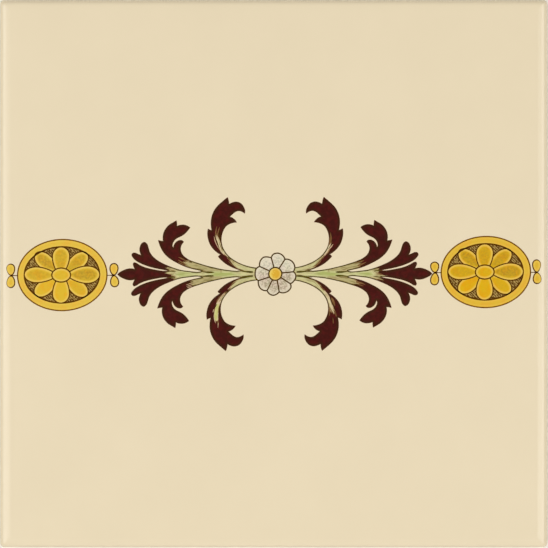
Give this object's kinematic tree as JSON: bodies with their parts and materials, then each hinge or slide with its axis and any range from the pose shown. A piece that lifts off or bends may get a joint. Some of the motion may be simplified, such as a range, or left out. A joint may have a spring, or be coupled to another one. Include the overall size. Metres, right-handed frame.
{
  "type": "victorian border tile",
  "caption": "Square glazed wall tile with a rolled edge, a keyed back and a printed band of scrolled leaves, a daisy and oval flower medallions, laid edge to edge as a border course.",
  "frame": {"origin": "middle of the back, on the plane of its ribs", "axes": "+Z from the back to the glazed face, +Y towards the top of the tile as it is hung, +X along the printed band to the right"},
  "size_m": [0.152, 0.152, 0.007],
  "materials": {
    "glazed_body": "gloss",
    "print_oxblood": "gloss",
    "print_green": "gloss",
    "print_gold": "gloss",
    "print_olive": "gloss",
    "print_white": "gloss"
  },
  "bodies": {
    "root": {"tile": "glazed_body"}
  },
  "joints": []
}
